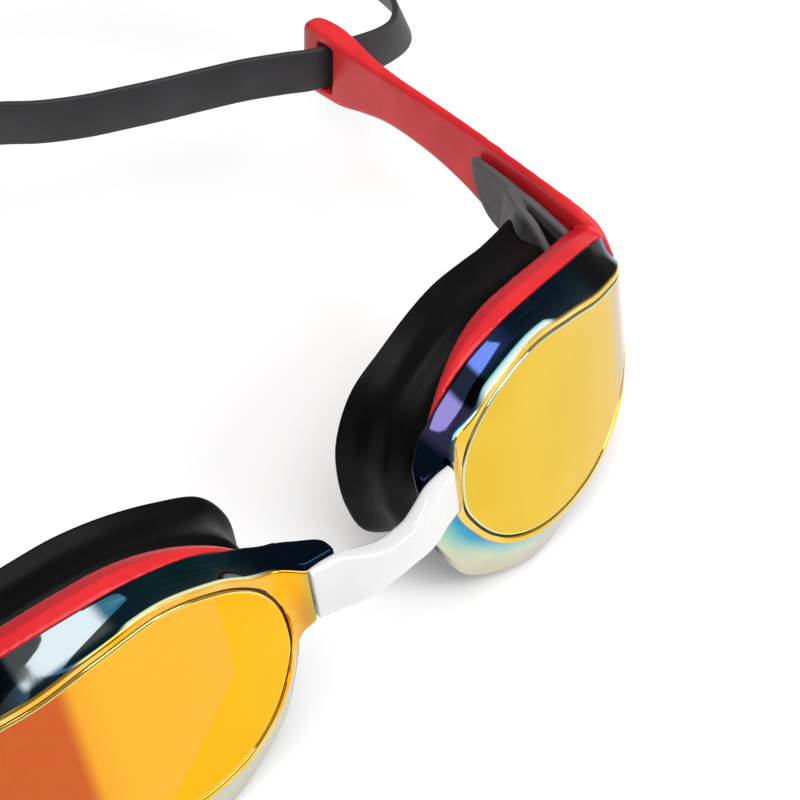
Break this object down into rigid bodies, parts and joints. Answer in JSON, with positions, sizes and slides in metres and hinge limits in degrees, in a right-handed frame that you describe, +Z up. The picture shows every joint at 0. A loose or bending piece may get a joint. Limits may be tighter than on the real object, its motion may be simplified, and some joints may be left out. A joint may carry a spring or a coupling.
{
  "type": "swim goggles",
  "caption": "Racing swim goggles: mirrored eyecups on a nose bridge, soft face seals, flexing side arms and a folded double strap with a back clip.",
  "frame": {"origin": "middle of the nose bridge's flat underside", "axes": "+Z up on the wearer, +Y from the lenses to the back of the head, +X to the wearer's left"},
  "size_m": [0.2184, 0.1859, 0.048],
  "materials": {
    "mirror_coat": "clear polycarbonate with a dark blue-green mirror coat",
    "mirror_gold": "gold mirror coat",
    "red_plastic": "satin red",
    "grey_rubber": "matt grey soft web",
    "black_rubber": "satin black silicone",
    "white_plastic": "glossy white",
    "strap_silicone": "matt black silicone",
    "clip_plastic": "satin black"
  },
  "bodies": {
    "bridge": {"nose_bridge": "white_plastic", "strap": "strap_silicone"},
    "cup_left": {"lens_pod_left": "mirror_coat", "lens_plate_left": "mirror_gold", "gasket_left": "black_rubber", "rim_left": "red_plastic", "lining_left": "grey_rubber"},
    "cup_right": {"lens_pod_right": "mirror_coat", "lens_plate_right": "mirror_gold", "gasket_right": "black_rubber", "rim_right": "red_plastic", "lining_right": "grey_rubber"},
    "arm_left": {"arm_left": "red_plastic"},
    "arm_right": {"arm_right": "red_plastic"},
    "clip": {"clip_body": "clip_plastic", "clip_cover": "clip_plastic"},
    "keeper_left": {"strap_keeper_left": "strap_silicone"},
    "keeper_right": {"strap_keeper_right": "strap_silicone"}
  },
  "joints": [
    {"name": "cup_left_flex", "type": "hinge", "parent": "bridge", "child": "cup_left", "pos_m": [0.0123, 0.003, 0.006], "axis": [0, 0, 1], "range_deg": [-3, 3], "stiffness_Nm_per_rad": 0.1},
    {"name": "arm_left_flex", "type": "hinge", "parent": "cup_left", "child": "arm_left", "pos_m": [0.074, 0.0305, 0.0058], "axis": [0, 0, 1], "range_deg": [-8, 8], "stiffness_Nm_per_rad": 0.05, "deforming": ["lining_left", "strap"]},
    {"name": "cup_right_flex", "type": "hinge", "parent": "bridge", "child": "cup_right", "pos_m": [-0.0123, 0.003, 0.006], "axis": [0, 0, 1], "range_deg": [-3, 3], "stiffness_Nm_per_rad": 0.1},
    {"name": "arm_right_flex", "type": "hinge", "parent": "cup_right", "child": "arm_right", "pos_m": [-0.074, 0.0305, 0.0058], "axis": [0, 0, 1], "range_deg": [-8, 8], "stiffness_Nm_per_rad": 0.05, "deforming": ["lining_right"]},
    {"name": "clip_slide", "type": "slide", "parent": "bridge", "child": "clip", "axis": [1, 0, 0], "range_m": [-0.004, 0.004]},
    {"name": "keeper_left_slide", "type": "slide", "parent": "bridge", "child": "keeper_left", "axis": [0.994, -0.1093, 0], "range_m": [-0.005, 0.005]},
    {"name": "keeper_right_slide", "type": "slide", "parent": "bridge", "child": "keeper_right", "axis": [-0.994, -0.1093, 0], "range_m": [-0.005, 0.005]}
  ]
}
